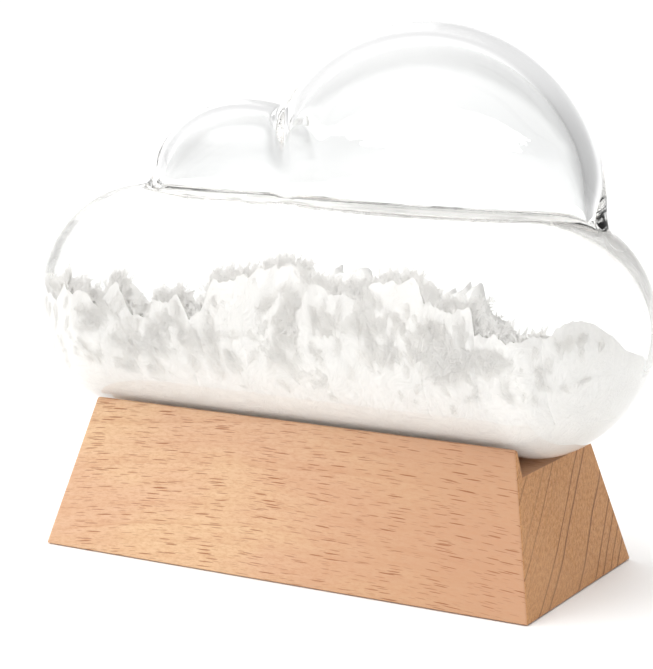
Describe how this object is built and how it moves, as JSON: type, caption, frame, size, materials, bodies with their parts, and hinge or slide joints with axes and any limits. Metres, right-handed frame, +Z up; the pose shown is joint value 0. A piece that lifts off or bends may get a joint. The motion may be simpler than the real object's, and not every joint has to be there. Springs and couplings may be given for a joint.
{
  "type": "storm glass",
  "caption": "Cloud-shaped sealed glass vessel of clear solution and feathery crystals, lying in the channel of a tapered wooden block; shows weather changes by crystal growth.",
  "frame": {"origin": "centre of the flat underside of the wooden block", "axes": "+Z up; +X along the block and the long glass lobe, toward the larger dome; -Y toward the front face in the picture"},
  "size_m": [0.1583, 0.059, 0.1282],
  "materials": {
    "beech": "fine sanded, oiled",
    "glass": "clear, fire polished",
    "solution": "clear liquid, stood in for by a clear solid",
    "packed_crystal": "packed white crystals",
    "feather_crystal": "feathery white crystals",
    "silicone": "matt silicone"
  },
  "bodies": {
    "base": {"wood_base": "beech"},
    "glass": {"glass_cloud": "glass", "fill_stopper": "silicone", "storm_solution": "solution", "crystal_bed": "packed_crystal", "crystal_plume_1": "feather_crystal", "crystal_plume_2": "feather_crystal", "crystal_plume_3": "feather_crystal", "crystal_plume_4": "feather_crystal", "crystal_plume_5": "feather_crystal", "crystal_plume_6": "feather_crystal", "crystal_plume_7": "feather_crystal", "crystal_plume_8": "feather_crystal", "crystal_plume_9": "feather_crystal", "crystal_plume_10": "feather_crystal", "crystal_plume_11": "feather_crystal"}
  },
  "joints": [
    {"name": "glass_lift", "type": "slide", "parent": "base", "child": "glass", "axis": [0, 0, 1], "range_m": [0, 0.05]}
  ]
}
